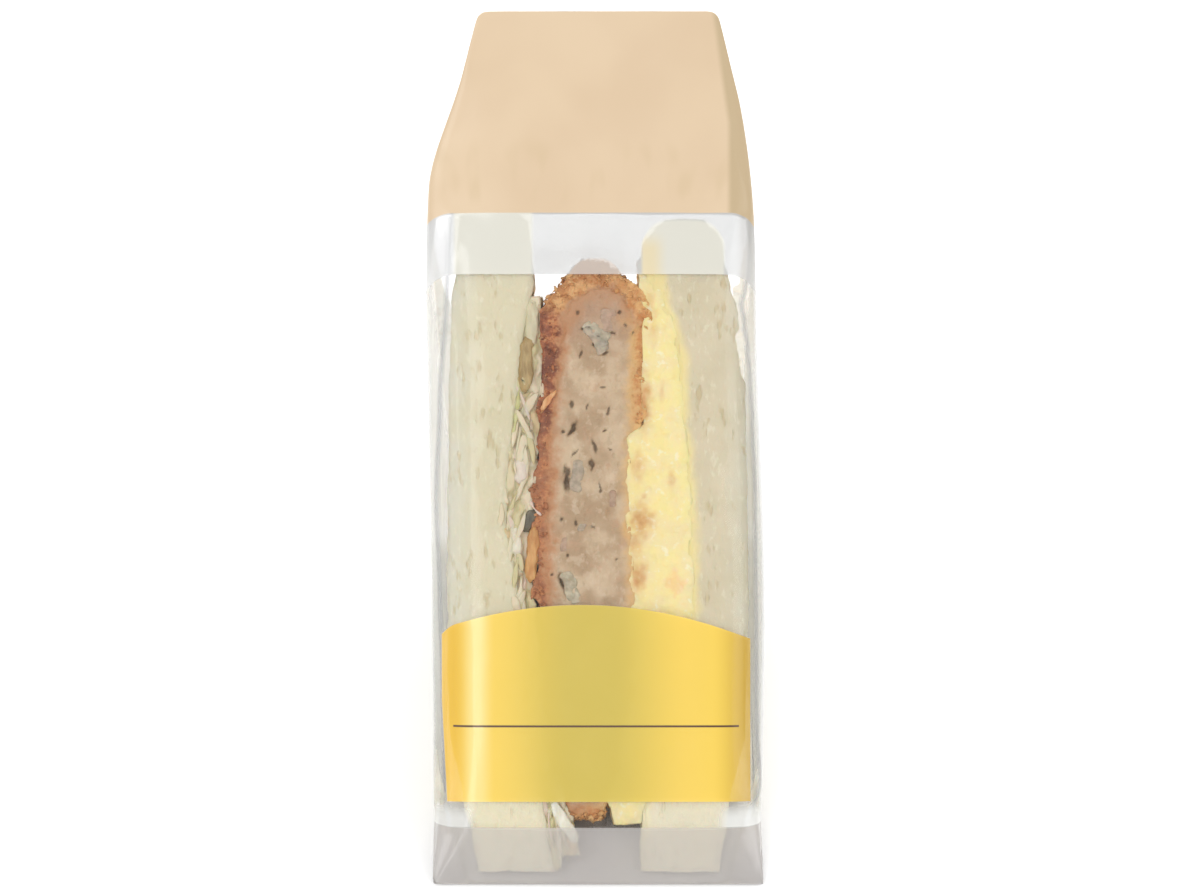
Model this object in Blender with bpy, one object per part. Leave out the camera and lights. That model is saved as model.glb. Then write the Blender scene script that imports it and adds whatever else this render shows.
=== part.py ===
"""A cut sandwich sealed in clear film: a triangular pack that stands on one of its short sides.

The pack is drawn in its own frame first. V runs up the sloping front from the fold at its foot to
the tip of the header, W runs from the front into the pack, and U runs across it, as X does. The
outer surface is one loft of closed sections across V, from the foot fold to the header's tip. It
is then tipped back by half a right angle, so that the lower short side lies on the ground.
Sizes are in metres.
"""

import math

import bmesh
import bpy
from mathutils import Matrix

# The triangle that the sandwich gives the pack, seen from the side.
FRONT_LENGTH = 0.150
APEX = FRONT_LENGTH / 2
BACK_CORNER_RADIUS = 0.006
FOLD_THICKNESS = 0.0010

# The flat header above the sandwich.
TIP = 0.1901
HEADER_ROOT = 0.136
HEADER_ROOT_PUFF = 0.0125
HEADER_BLEND = 0.0016
HEADER_CURL = 0.0028
TIP_CORNER_RADIUS = 0.0018

# Half of the width across the pack, and how the header narrows.
HALF_WIDTH = 0.0360
BELLY = 0.0012
TAPER_START = 0.1545
TAPER_SLOPE = 0.285
TAPER_SOFTNESS = 0.0040
FOOT_FLARE = 0.0003
BACK_NARROWING = 0.09

# The film leans a little to one side on its way up, and the header leans back again.
FOOT_LEAN = 0.0004
TOP_LEAN = -0.00135
TIP_LEAN = 0.00035

# How the film turns from the front to the sides and from the sides to the back.
FRONT_EDGE_ACROSS = 0.0100
FRONT_EDGE_DEEP = 0.0110
BACK_EDGE = 0.0070
EDGE_SHARE = 0.30
SIDE_PUFF = 0.0006

# The sides are tucked in at the foot and again in the header, where the plies lie together.
FOOT_TUCK_END = 0.027
FOOT_TUCK_SLOPE = 0.30
HEADER_TUCK_START = 0.128
HEADER_TUCK_SLOPE = 0.11

# The folded seam that runs up the middle of the back.
SEAM_HALF_WIDTH = 0.0048
SEAM_STEP = 0.0006
SEAM_HEIGHT = 0.0006
SEAM_OFFSET = 0.0015
SEAM_END = 0.168

# How finely the loft is cut.
ACROSS_HALF = 5
EDGE_STEPS = 4
SIDE_STEPS = 6
LEG_SECTIONS = 17
CORNER_SECTIONS = 8
HEADER_SECTIONS = 15
TIP_SECTIONS = 5

FILM_COLOUR = (0.83, 0.66, 0.45, 1.0)
FILM_ROUGHNESS = 0.35


def ease(value, start, end):
    """0 before start, 1 after end, and a smooth rise between them."""
    share = min(1.0, max(0.0, (value - start) / (end - start)))
    return share * share * (3 - 2 * share)


def soft_ramp(value, softness):
    """0 well below zero and the value itself well above it, with a round bend between."""
    return softness * math.log1p(math.exp(value / softness))


def triangle_depth(v):
    """Depth of the pack behind its front where only the sandwich shapes it."""
    from_apex = v - APEX
    if abs(from_apex) <= BACK_CORNER_RADIUS / math.sqrt(2):
        middle = APEX - BACK_CORNER_RADIUS * math.sqrt(2)
        depth = middle + math.sqrt(BACK_CORNER_RADIUS**2 - from_apex**2)
    else:
        depth = APEX - abs(from_apex)
    return depth + FOLD_THICKNESS


def header_depth(v):
    """Thickness of the header, which is puffed at its root and flat at its tip."""
    share = max(0.0, (TIP - v) / (TIP - HEADER_ROOT))
    return FOLD_THICKNESS + HEADER_ROOT_PUFF * share**2


def depth(v):
    if v <= APEX:
        return triangle_depth(v)
    thin = header_depth(v)
    return thin + soft_ramp(triangle_depth(v) - thin, HEADER_BLEND)


def front(v):
    """How far the front ply has curled back from the plane of the cut face."""
    return HEADER_CURL * max(0.0, (v - HEADER_ROOT) / (TIP - HEADER_ROOT)) ** 2


def lean(v):
    going_up = ease(v, 0.055, 0.150)
    in_header = ease(v, 0.152, 0.176)
    return FOOT_LEAN + (TOP_LEAN - FOOT_LEAN) * going_up + (TIP_LEAN - TOP_LEAN) * in_header


def half_width(v):
    belly = BELLY * math.sin(math.pi * min(v, FRONT_LENGTH) / FRONT_LENGTH)
    flare = FOOT_FLARE * (1 - ease(v, 0.0, 0.012))
    taper = TAPER_SLOPE * soft_ramp(v - TAPER_START, TAPER_SOFTNESS)
    width = HALF_WIDTH + belly + flare - taper
    past = v - (TIP - TIP_CORNER_RADIUS)
    if past > 0:
        width -= TIP_CORNER_RADIUS - math.sqrt(max(0.0, TIP_CORNER_RADIUS**2 - past**2))
    return width


def tuck(v):
    """How far the middle of each side is folded in."""
    foot = FOOT_TUCK_SLOPE * soft_ramp(FOOT_TUCK_END - v, 0.002)
    header = HEADER_TUCK_SLOPE * soft_ramp(v - HEADER_TUCK_START, 0.003)
    return foot + header


def seam_height(v):
    return SEAM_HEIGHT * ease(v, APEX + 0.003, APEX + 0.010) * (1 - ease(v, SEAM_END, TIP))


def half_section(v, side):
    """(u, w) points of one half of a section, from the middle of the front round to the back."""
    width, deep, inwards = half_width(v), depth(v), tuck(v)
    edge_u = min(FRONT_EDGE_ACROSS, 0.0004 + 0.7 * deep)
    edge_w = min(FRONT_EDGE_DEEP, EDGE_SHARE * deep)
    back_u = min(BACK_EDGE, 0.0004 + 0.7 * deep)
    back_w = min(BACK_EDGE, EDGE_SHARE * deep)
    back_width = width * (1 - BACK_NARROWING * deep / APEX)
    points = []
    for i in range(ACROSS_HALF):
        points.append(((width - edge_u) * i / ACROSS_HALF, 0.0))
    for i in range(EDGE_STEPS):
        turn = math.pi / 2 * i / EDGE_STEPS
        points.append((width - edge_u + edge_u * math.sin(turn), edge_w * (1 - math.cos(turn))))
    for i in range(SIDE_STEPS + 1):
        share = i / SIDE_STEPS
        puff = SIDE_PUFF * min(1.0, deep / APEX) * math.sin(math.pi * share)
        folded = inwards * (1 - abs(2 * share - 1))
        u = width + (back_width - width) * share + puff - folded
        points.append((u, edge_w + (deep - edge_w - back_w) * share))
    for i in range(1, EDGE_STEPS + 1):
        turn = math.pi / 2 * i / EDGE_STEPS
        points.append((back_width - back_u * (1 - math.cos(turn)), deep - back_w * (1 - math.sin(turn))))
    seam_edge = SEAM_HALF_WIDTH + side * SEAM_OFFSET
    points.append((seam_edge + SEAM_STEP, deep))
    points.append((seam_edge, deep + seam_height(v)))
    return [(side * u, w + front(v)) for u, w in points]


def section(v):
    """(u, w) points of a whole section, the right half first and then the left one backwards."""
    right, left = half_section(v, 1), half_section(v, -1)
    middle_of_back = (0.0, right[-1][1])
    ring = right + [middle_of_back] + left[:0:-1]
    return [(u + lean(v), w) for u, w in ring]


def stations():
    """V of every section: even on the two short sides, closer at the back corner and the tip."""
    reach = BACK_CORNER_RADIUS / math.sqrt(2)
    spans = [
        (0.0, APEX - reach, LEG_SECTIONS),
        (APEX - reach, APEX + reach, CORNER_SECTIONS),
        (APEX + reach, HEADER_ROOT, LEG_SECTIONS - 2),
        (HEADER_ROOT, TIP - TIP_CORNER_RADIUS, HEADER_SECTIONS),
    ]
    found = [a + (b - a) * i / n for a, b, n in spans for i in range(n)]
    for i in range(TIP_SECTIONS + 1):
        turn = math.pi / 2 * i / TIP_SECTIONS
        found.append(TIP - TIP_CORNER_RADIUS * (1 - math.sin(turn)))
    return found


def film_finish():
    finish = bpy.data.materials.new("film")
    finish.use_nodes = True
    shader = finish.node_tree.nodes["Principled BSDF"]
    shader.inputs["Base Color"].default_value = FILM_COLOUR
    shader.inputs["Roughness"].default_value = FILM_ROUGHNESS
    return finish


def lofted_pack():
    """The closed mesh, lofted by extruding one ring of edges from section to section."""
    bm = bmesh.new()
    places = stations()
    count = len(section(places[0]))
    ring = bmesh.ops.create_circle(bm, segments=count, radius=HALF_WIDTH)["verts"]
    first_ring = list(ring)
    edges = list(bm.edges)
    for vert, (u, w) in zip(ring, section(places[0])):
        vert.co = (u, places[0], w)
    for v in places[1:]:
        made = bmesh.ops.extrude_edge_only(bm, edges=edges)["geom"]
        step = {vert for vert in made if isinstance(vert, bmesh.types.BMVert)}
        ring = [next(e.other_vert(old) for e in old.link_edges if e.other_vert(old) in step) for old in ring]
        edges = [e for e in made if isinstance(e, bmesh.types.BMEdge) and set(e.verts) <= step]
        for vert, (u, w) in zip(ring, section(v)):
            vert.co = (u, v, w)
    bm.faces.new(first_ring)
    bm.faces.new(ring)
    bmesh.ops.recalc_face_normals(bm, faces=bm.faces)
    return bm


def stand_on_short_side(bm):
    """Tips the front back, so that the lower short side is level, and centres it on the origin."""
    bmesh.ops.scale(bm, vec=(1, 1, -1), verts=bm.verts)
    bmesh.ops.reverse_faces(bm, faces=bm.faces)
    bmesh.ops.rotate(bm, matrix=Matrix.Rotation(math.radians(45), 3, "X"), verts=bm.verts)
    low = [min(vert.co[i] for vert in bm.verts) for i in range(3)]
    high = [max(vert.co[i] for vert in bm.verts) for i in range(3)]
    middle = (-(low[0] + high[0]) / 2, -(low[1] + high[1]) / 2, -low[2])
    bmesh.ops.translate(bm, vec=middle, verts=bm.verts)


def film_pack(collection):
    bm = lofted_pack()
    stand_on_short_side(bm)
    mesh = bpy.data.meshes.new("film_pack")
    bm.to_mesh(mesh)
    bm.free()
    mesh.shade_smooth()
    mesh.set_sharp_from_angle(angle=math.radians(35))
    mesh.materials.append(film_finish())
    collection.objects.link(bpy.data.objects.new("film_pack", mesh))


def main():
    for old in list(bpy.data.objects):
        bpy.data.objects.remove(old)
    pack = bpy.data.collections.new("sandwich_pack")
    bpy.context.scene.collection.children.link(pack)
    film_pack(pack)


main()
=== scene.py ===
# %% [markdown]
# # A cut sandwich in a clear film pack
#
# The part is a half sandwich, cut from corner to corner and sealed in film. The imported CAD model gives
# one closed solid for the whole pack. Here that solid is replaced by what a shopper sees: a thin
# glossy film with printed fields, and behind it two slices of bread, a cutlet, cabbage and egg salad.

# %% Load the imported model
import math
import random

import bmesh
import bpy
from mathutils import Matrix, Vector, noise
from mathutils.bvhtree import BVHTree


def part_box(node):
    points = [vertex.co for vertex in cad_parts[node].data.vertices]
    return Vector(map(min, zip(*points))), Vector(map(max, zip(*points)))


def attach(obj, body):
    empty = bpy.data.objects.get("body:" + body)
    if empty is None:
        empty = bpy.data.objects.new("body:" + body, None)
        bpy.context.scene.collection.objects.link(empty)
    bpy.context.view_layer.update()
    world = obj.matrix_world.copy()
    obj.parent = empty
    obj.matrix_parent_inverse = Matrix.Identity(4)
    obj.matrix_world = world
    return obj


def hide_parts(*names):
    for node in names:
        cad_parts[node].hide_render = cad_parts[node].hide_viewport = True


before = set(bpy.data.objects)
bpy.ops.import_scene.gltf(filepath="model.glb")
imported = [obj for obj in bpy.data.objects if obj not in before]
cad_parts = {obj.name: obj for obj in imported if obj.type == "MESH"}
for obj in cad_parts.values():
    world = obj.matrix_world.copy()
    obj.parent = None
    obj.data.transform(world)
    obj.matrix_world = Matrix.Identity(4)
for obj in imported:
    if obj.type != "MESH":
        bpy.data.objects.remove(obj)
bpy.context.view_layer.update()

# %% [markdown]
# ## A frame of the pack's own
#
# The pack leans back by half a right angle, which makes every measure awkward in world axes. So the
# pieces are drawn in a frame that lies on the cut face: U runs across, V runs up the face from the fold
# at the foot, and N points out of the face. One matrix then takes a finished piece to its place, and
# the same turn is undone inside the materials, so that shapes and patterns use the same millimetres.

# %% The pack's frame
MM = 0.001
LEAN = math.radians(45)
FOLD = 0.0010
HALF_FACE = 75

low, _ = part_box("film_pack")
foot = Vector((0, low[1], low[2] + FOLD / math.sqrt(2)))
to_world = Matrix.Translation(foot) @ Matrix.Rotation(LEAN, 4, "X") @ Matrix.Scale(MM, 4)
to_pack = to_world.inverted()
print("foot of the pack:", [round(value, 4) for value in foot])

# %% [markdown]
# ## Helpers for shapes
#
# Food has no straight edges, so most pieces start as a closed box that is cut into a fine net and then
# moved, point by point, to a measured outline. Smooth noise adds the unevenness. A short table of
# places up the face, with the value at each, says where an edge runs.

# %% Helpers for shapes
def ease(value, start, end):
    """0 before start, 1 after end, and a smooth rise between them."""
    share = min(1, max(0, (value - start) / (end - start)))
    return share * share * (3 - 2 * share)


def along(table, place):
    """The value at a place between the (place, value) rows of a table, which go up."""
    if place <= table[0][0]:
        return table[0][1]
    for (a, first), (b, second) in zip(table, table[1:]):
        if place <= b:
            return first + (second - first) * ease(place, a, b)
    return table[-1][1]


def ripple(at, size, seed, octaves=1):
    """Smooth noise from about -1 to 1 at a point, with lumps of a size in millimetres."""
    where = Vector(at) / size + Vector((seed * 7.31, seed * 3.17, seed * 5.93))
    if octaves == 1:
        return noise.noise(where) * 1.4
    return noise.fractal(where, 1, 2, octaves)


def net_box(cuts):
    """A closed box of unit size, cut evenly along each of its three ways."""
    bm = bmesh.new()
    bmesh.ops.create_cube(bm, size=1)
    for way, count in enumerate(cuts):
        edges = [e for e in bm.edges if abs(e.verts[0].co[way] - e.verts[1].co[way]) > 0.5]
        bmesh.ops.subdivide_edges(bm, edges=edges, cuts=count, use_grid_fill=True)
    return bm


def between(span, share):
    """The place that lies a share of the way through a span."""
    return span[0] + share * (span[1] - span[0])


def turned_by(degrees, axis="Z"):
    return Matrix.Rotation(math.radians(degrees), 3, axis)


def smooth(bm, verts, times):
    """Draws points towards the middle of their neighbours."""
    axes = {"use_axis_x": True, "use_axis_y": True, "use_axis_z": True}
    for _ in range(times):
        bmesh.ops.smooth_vert(bm, verts=verts, factor=0.5, **axes)


def swell(bm, height):
    """Moves every point along its normal by what height gives for it, in millimetres."""
    bm.normal_update()
    moves = [vert.normal * height(vert.co) for vert in bm.verts]
    for vert, move in zip(bm.verts, moves):
        vert.co += move


# %% [markdown]
# Every piece is finished in the same way: its normals are turned outwards, it goes from the pack's
# frame to its place, it is told which body it rides on, and the CAD solid that it replaces is hidden.

# %% Finish a piece
def mesh_from(name, bm):
    mesh = bpy.data.meshes.new(name)
    bm.to_mesh(mesh)
    bm.free()
    return mesh


def add_object(name, data):
    added = bpy.data.objects.new(name, data)
    bpy.context.scene.collection.objects.link(added)
    return added


def finish_piece(name, bm, paint):
    bmesh.ops.recalc_face_normals(bm, faces=bm.faces)
    bm.transform(to_world)
    mesh = mesh_from(name, bm)
    mesh.shade_smooth()
    mesh.materials.append(paint)
    piece = add_object(name, mesh)
    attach(piece, "root")
    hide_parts("film_pack")
    triangles = sum(len(face.vertices) - 2 for face in mesh.polygons)
    print(name, "has", triangles, "triangles")
    return piece


# %% [markdown]
# ## Helpers for materials
#
# A material is a net of nodes, and sums in it are hard to read as nodes. The class Value wraps one
# output, so that an ordinary expression such as 1 - mask adds the Math nodes by itself. Paint wraps a
# material and gives each kind of node one short call. Colours are given as 0 to 255 on a screen.

# %% A value in a material
def sum_of(operation, swapped=False):
    """A method that adds one Math node for its own value and others."""

    def method(self, *others):
        terms = (*others, self) if swapped else (self, *others)
        return self.paint.node("ShaderNodeMath", {"operation": operation}, dict(enumerate(terms)))

    return method


class Value:
    """One output in a material, which takes part in sums."""

    __add__ = __radd__ = sum_of("ADD")
    __mul__ = __rmul__ = sum_of("MULTIPLY")
    __sub__ = sum_of("SUBTRACT")
    __rsub__ = sum_of("SUBTRACT", swapped=True)
    __truediv__ = sum_of("DIVIDE")
    __pow__ = sum_of("POWER")
    size = sum_of("ABSOLUTE")
    most = sum_of("MAXIMUM")
    least = sum_of("MINIMUM")

    def __init__(self, paint, socket):
        self.paint = paint
        self.socket = socket

    def __neg__(self):
        return 0 - self

    def rise(self, start, end):
        """0 at start, 1 at end, held level outside them. Start may be the larger one."""
        settings = {"interpolation_type": "SMOOTHSTEP"}
        reach = {"Value": self, "From Min": start, "From Max": end}
        return self.paint.node("ShaderNodeMapRange", settings, reach)


# %% A material
def shade(red, green, blue):
    """A colour given as 0 to 255 on a screen, as the light that it stands for."""
    shares = [value / 255 for value in (red, green, blue)]
    return [s / 12.92 if s <= 0.04045 else ((s + 0.055) / 1.055) ** 2.4 for s in shares] + [1]


class Paint:
    """A material with its nodes. place, u, v and n are millimetres in the pack's frame."""

    def __init__(self, name):
        self.material = bpy.data.materials.new(name)
        self.material.use_nodes = True
        self.tree = self.material.node_tree
        self.shader = self.tree.nodes["Principled BSDF"]
        into_pack = {
            "Vector": self.node("ShaderNodeTexCoord", {}, {}, "Object"),
            "Location": Matrix.Rotation(-LEAN, 3, "X") @ (-foot / MM),
            "Rotation": (-LEAN, 0, 0),
            "Scale": (1 / MM, 1 / MM, 1 / MM),
        }
        self.place = self.node("ShaderNodeMapping", {}, into_pack)
        split = [self.node("ShaderNodeSeparateXYZ", {}, {"Vector": self.place}, i) for i in range(3)]
        self.u, self.v, self.n = split

    def node(self, kind, settings, inputs, output=0):
        made = self.tree.nodes.new(kind)
        for name, setting in settings.items():
            setattr(made, name, setting)
        for name, value in inputs.items():
            self.feed(made.inputs[name], value)
        return Value(self, made.outputs[output])

    def feed(self, socket, value):
        if isinstance(value, Value):
            self.tree.links.new(value.socket, socket)
        elif socket.type == "RGBA":
            socket.default_value = shade(*value)
        else:
            socket.default_value = value

    def set(self, **finish):
        """Sets or feeds the main shader's sockets, named with _ for a space."""
        for name, value in finish.items():
            self.feed(self.shader.inputs[name.replace("_", " ")], value)

    def mix(self, share, first, second):
        """The first colour where share is 0 and the second where it is 1."""
        return self.node("ShaderNodeMix", {"data_type": "RGBA"}, {0: share, 6: first, 7: second}, 2)

    def mix_shaders(self, share, first, second):
        return self.node("ShaderNodeMixShader", {}, {0: share, 1: first, 2: second})

    def diffuse(self, colour):
        return self.node("ShaderNodeBsdfDiffuse", {}, {"Color": colour})

    def layer(self, name):
        """A number that the piece carries for each of its points."""
        return self.node("ShaderNodeAttribute", {"attribute_name": name}, {}, "Fac")

    def noise(self, size, detail=2, rough=0.5, stretch=None):
        """Cloudy noise from 0 to 1 with patches of a size in millimetres.

        stretch scales the place across, up and inwards, for grain that runs one way.
        """
        where = self.place
        if stretch:
            where = self.node("ShaderNodeVectorMath", {"operation": "MULTIPLY"}, {0: where, 1: stretch})
        inputs = {"Vector": where, "Scale": 1 / size, "Detail": detail, "Roughness": rough}
        return self.node("ShaderNodeTexNoise", {}, inputs)

    def bump(self, height, depth):
        """Relief of a depth in millimetres."""
        inputs = {"Strength": 1, "Distance": depth * MM, "Height": height}
        return self.node("ShaderNodeBump", {}, inputs)

    def food(self, colour, roughness, relief, depth, under=0, under_reach=0.001):
        """Sets a food's colour and relief, and how much light spreads under its skin, in metres."""
        self.set(Base_Color=colour, Roughness=roughness, Normal=self.bump(relief, depth))
        self.set(Subsurface_Weight=under, Subsurface_Scale=under_reach)
        return self.material


# %% [markdown]
# ## The film's shape
#
# Film that is sealed around a sandwich is pulled nearly flat over the cut face, turns in long soft
# folds along the sides, and puckers where the header begins. The CAD solid already has that outer
# form, so the film is a copy of it: merged, cut finer, smoothed, and then pushed into soft creases. A
# simulated cloth would hang and slide, while film is stiff and stays where the seals hold it.

# %% The film's surface
FILM_CUTS = 3
FILM_SMOOTHINGS = 5
HEADER_ROOT = 147
HEADER_TIP = 190
TIP_STRETCH = 0.6
BY_CREASE = 1.6
LEFT_CREASE = [
    (12, -31.8), (18, -32.5), (45, -33.4), (62, -34), (84, -34.8), (105, -34), (133, -32.4), (146, -31.6),
]
RIGHT_CREASE = [
    (12, 32.6), (22, 36), (32, 35.3), (46, 35.1), (85, 34.8), (101, 34.2), (111, 33.7), (116.6, 33.1),
    (122.7, 32.3), (126.5, 31.6), (130, 32.5), (133, 33.1), (146, 32.9),
]
CREASE_SPAN = (12, 146)
CREASE_HEIGHT = 0.30
OFF_CREASE = 9
HEADER_FOLD = [(145, 34), (166, 28.3), (190, 25.2)]


def film_move(at, normal):
    """How far a point of the film is pushed, in millimetres, as a vector."""
    u, v, n = at
    header = ease(v, HEADER_ROOT - 3, HEADER_ROOT + 8)
    sides = ease(abs(normal.x), 0.5, 0.9)
    face = ease(normal.z, 0.6, 0.95)
    bend = header * (ripple((u, v, 0), 30, 1) + 0.35 * ripple((u * 1.2, v * 0.45, 0), 10, 2))
    pucker = ease(v, 140, 149) * (1 - ease(v, 153, 168))
    bend += pucker * 0.55 * ripple((u, v * 0.22, 0), 6.5, 3)
    bend -= header * 0.30 * max(0, u - along(HEADER_FOLD, v))
    slack = 0.14 * face * (1 - header) * ripple((u, v * 0.6, 0), 17, 4, 2)
    buckle = sides * (1 - header) * (-0.2 + 0.3 * ripple((u, v * 0.2, n * 0.7), 13, 5))
    corner = sides * (1 - ease(v, 8, 24)) * 0.35 * ripple((u, v * 1.5, n), 9, 6)
    stretch = ease(v, HEADER_TIP - 16, HEADER_TIP)
    return Vector((u * 0.012 * stretch, TIP_STRETCH * stretch, bend + slack)) + normal * (buckle + corner)


def film_surface():
    bm = bmesh.new()
    bm.from_mesh(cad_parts["film_pack"].data)
    bmesh.ops.remove_doubles(bm, verts=bm.verts, dist=1e-6)
    bm.transform(to_pack)
    bmesh.ops.join_triangles(bm, faces=bm.faces, angle_face_threshold=0.9, angle_shape_threshold=3.1)
    bmesh.ops.subdivide_edges(bm, edges=bm.edges, cuts=FILM_CUTS, use_grid_fill=True)
    smooth(bm, bm.verts, FILM_SMOOTHINGS)
    bm.normal_update()
    moves = [film_move(vert.co, vert.normal) for vert in bm.verts]
    crease = bm.verts.layers.float.new("crease")
    for vert, move in zip(bm.verts, moves):
        line = along(LEFT_CREASE, vert.co.y) if vert.co.x < 0 else along(RIGHT_CREASE, vert.co.y)
        outwards = (vert.co.x - line) * math.copysign(1, line)
        on_front = vert.normal.z > 0.2 and CREASE_SPAN[0] < vert.co.y < CREASE_SPAN[1]
        vert[crease] = outwards if on_front else OFF_CREASE
        vert.co += move
        if on_front:
            vert.co += vert.normal * CREASE_HEIGHT * (1 - ease(abs(outwards), 0, BY_CREASE))
    return bm


film = film_surface()
film_walls = BVHTree.FromBMesh(film)
print("film points:", len(film.verts))

# %% [markdown]
# The film presses soft food into shape. So each piece of food is checked against the film: a point
# that lies outside it, or nearer than a small gap, is moved in along the film's own normal.

# %% Press the food inside the film
PRESS_GAP = 0.5
SMALL_GAP = 0.3
FLAKE_GAP = 0.25


def press_inside(bm, gap=PRESS_GAP):
    for vert in bm.verts:
        near, normal, _, _ = film_walls.find_nearest(vert.co)
        reach = (vert.co - near).dot(normal)
        if reach > -gap:
            vert.co -= normal * (reach + gap)


def pack_depth(v):
    """How deep the pack is behind the cut face."""
    return HALF_FACE - abs(v - HALF_FACE)


# %% [markdown]
# ## Bread
#
# Each half slice is a triangle of soft white crumb about 15 mm thick, with its crust cut off. The cut
# face shows small holes, drawn out upwards by the knife and the rise of the dough. A boolean with
# hundreds of small bubbles would be slow and brittle, so the net is fine enough to take pits directly,
# and the material adds the pores that are too small for it.

# %% The slices' outlines, in millimetres across at places up the face
LEFT_SLICE_OUTER = [
    (3, -25.7), (10, -27), (17, -28.8), (35, -32.2), (62, -32.7), (105, -32.3), (127, -31.5),
    (134, -30.5), (148, -29.8),
]
LEFT_SLICE_INNER = [
    (3, -9), (10, -10.3), (17, -11.5), (40, -15.5), (61, -16.8), (68, -17.4), (74, -19), (78, -19.7),
    (84, -19.2), (88, -19.4), (92, -19.1), (98, -17.8), (107, -16.9), (119, -16), (126, -14.6),
    (131, -13.6), (138, -14.3), (144, -14.9), (148, -16.6),
]
RIGHT_SLICE_INNER = [
    (3, 9.6), (15, 10), (22, 12.4), (40, 19.2), (62, 20.8), (77, 20.2), (90, 19.8), (101, 18.6),
    (112, 18.2), (119, 17.2), (123, 15.6), (127, 12.5), (133, 10.3), (140, 10.5),
]
RIGHT_SLICE_OUTER = [
    (3, 27), (15, 28.8), (35, 32.8), (62, 33.4), (84, 33.2), (101, 32.8), (109, 32.7), (111.6, 31.7),
    (114.2, 31.3), (117.6, 30.8), (119.7, 30.5), (121.2, 31.3), (123.2, 31.2), (126.2, 30.7), (130, 29.3),
    (133, 28.7), (136, 27.9), (142, 27.4), (145, 27),
]
LEFT_HEAD = [(-0.5, 145.8), (-0.42, 147.9), (0, 148.3), (0.36, 147.6), (0.5, 144.6)]
RIGHT_HEAD = [
    (-0.5, 138), (-0.46, 140.8), (-0.40, 142), (-0.32, 143.5), (-0.2, 144.7), (0, 145.2), (0.30, 145.1),
    (0.36, 143.4), (0.43, 142.5), (0.5, 140.6),
]
FACE_FOOT = 2.6
BREAD_FRONT = 0.7
BACK_GAP = 1.2
LEAST_DEPTH = 1.6
EGG_RIGHT = [
    (5, 9.6), (15, 10.2), (22, 12.8), (40, 20.4), (62, 21.6), (77, 21), (90, 20.6), (101, 19.4),
    (112, 19), (119, 18), (123, 16.6), (127, 14.8), (133, 13.9), (141, 13.4),
]
SLICE_NET = (39, 339, 25)
PINCH = 0.10


def pore_pit(at, width, seed):
    """Depth of a pore at a point, 0 outside pores: long pits, in some of the cells of a net."""
    where = Vector((at[0] / width, at[1] / (width * 2.1), at[2] / width)) + Vector((seed, seed, seed))
    distances, middles = noise.voronoi(where)
    lucky = noise.noise(middles[0] * 3.7)
    reach = 0.16 + 0.3 * max(0, lucky)
    return max(0, 1 - distances[0] / reach) ** 0.7


def slice_of_bread(inner, outer, head, seed):
    bm = net_box(SLICE_NET)
    soak = bm.verts.layers.float.new("soak")
    for vert in bm.verts:
        across, up, front = vert.co
        v = FACE_FOOT + (up + 0.5) * (along(head, across) - FACE_FOOT)
        deep = max(LEAST_DEPTH, pack_depth(v) - BACK_GAP)
        w = BREAD_FRONT + (0.5 - front) * deep
        near_side = abs(across) * 2
        w += 0.5 * ease(near_side, 0.86, 1) * (2 * front)
        left, right = along(outer, v), along(inner, v)
        u = left + (across + 0.5) * (right - left)
        vert[soak] = u - along(EGG_RIGHT, v)
        u *= 1 - PINCH * (w / HALF_FACE) ** 2
        vert.co = (u, v, -w)

    def unevenness(at):
        rough = 0.28 * ripple(at, 7, seed, 2) + 0.16 * ripple(at, 1.9, seed + 1, 3)
        return rough - 0.5 * pore_pit(at, 2.9, seed) - 0.3 * pore_pit(at, 1.5, seed + 4)

    swell(bm, unevenness)
    press_inside(bm)
    return bm


# %% The bread's finish
EGG_SOAK = (2.4, -0.4)


def bread_paint(name, pale, deep, outer, outer_to_pale, soaked):
    """Pale crumb, greyer at its outer edge, with long pores in painted shade, yellow where egg has soaked
    in, and painted light low down.
    """
    paint = Paint(name)
    cloudy = paint.noise(9, 3)
    long_grain = paint.noise(1.2, 3, 0.6, (1, 0.45, 1))
    pores_and_shade = paint.noise(2.1, 2, 0.6, (1, 0.34, 1))
    soak = paint.layer("soak")
    colour = paint.mix(paint.u.rise(*outer_to_pale), outer, pale)
    colour = paint.mix(cloudy.rise(0.35, 0.75) * 0.55, colour, deep)
    # Painted shade in the pores: a darker tan where the grain sinks into pits.
    colour = paint.mix(pores_and_shade.rise(0.59, 0.72) * 0.55, colour, (206, 188, 142))
    colour = paint.mix(long_grain.rise(0.55, 0.72) * 0.4, colour, (246, 242, 220))
    if soaked:
        egg_share = (soak + (cloudy - 0.5) * 5).rise(*EGG_SOAK)
        colour = paint.mix(egg_share * 0.75, colour, (250, 234, 166))
    # Painted light: both slices turn lighter low down, towards the foot.
    colour = paint.mix(paint.v.rise(46, 22) * 0.65, colour, (248, 241, 213))
    fine = paint.noise(0.5, 2)
    relief = long_grain * 0.6 + fine * 0.15 - pores_and_shade.rise(0.60, 0.72) * 0.4
    paint.set(Specular_IOR_Level=0.25)
    return paint.food(colour, 0.9, relief, 0.5, 0.15, 0.0015)


LEFT_COLOURS = ((229, 221, 193), (218, 210, 178), (222, 219, 201))
RIGHT_COLOURS = ((226, 215, 188), (213, 203, 172), (218, 213, 191))

left_slice = slice_of_bread(LEFT_SLICE_INNER, LEFT_SLICE_OUTER, LEFT_HEAD, 11)
finish_piece("bread_left", left_slice, bread_paint("bread crumb left", *LEFT_COLOURS, (-32, -24), False))
right_slice = slice_of_bread(RIGHT_SLICE_OUTER, RIGHT_SLICE_INNER, RIGHT_HEAD, 23)
finish_piece("bread_right", right_slice, bread_paint("bread crumb right", *RIGHT_COLOURS, (34, 26), True))

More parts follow.
